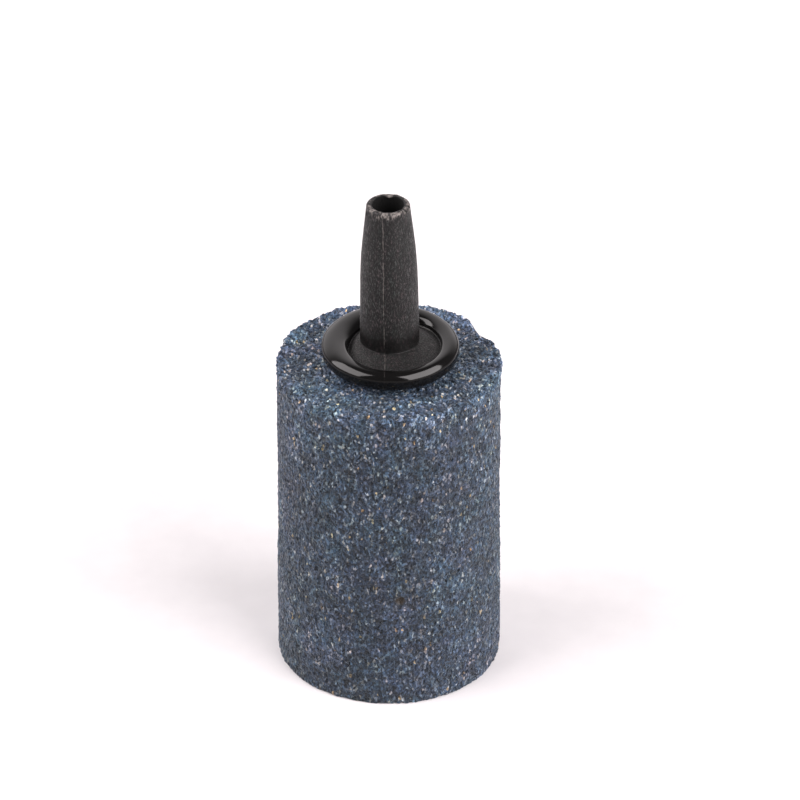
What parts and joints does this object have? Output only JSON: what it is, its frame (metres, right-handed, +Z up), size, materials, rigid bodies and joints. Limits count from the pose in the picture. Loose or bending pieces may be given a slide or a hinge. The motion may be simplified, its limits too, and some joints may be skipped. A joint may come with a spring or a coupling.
{
  "type": "aquarium air stone",
  "caption": "Cylindrical mineral air stone with a tapered black hose nipple in its top, for making fine bubbles in a tank or pond.",
  "frame": {"origin": "centre of the stone's flat base", "axes": "+Z up the common axis of the stone and the nipple, towards the nipple's tip; the object is round, and -Y is the side turned to the viewer"},
  "size_m": [0.02, 0.02, 0.0457],
  "materials": {
    "stone_grain": "matte",
    "black_moulding": "matte",
    "cured_glue": "gloss"
  },
  "bodies": {
    "root": {"stone_body": "stone_grain", "hose_nipple": "black_moulding", "adhesive": "cured_glue"}
  },
  "joints": []
}
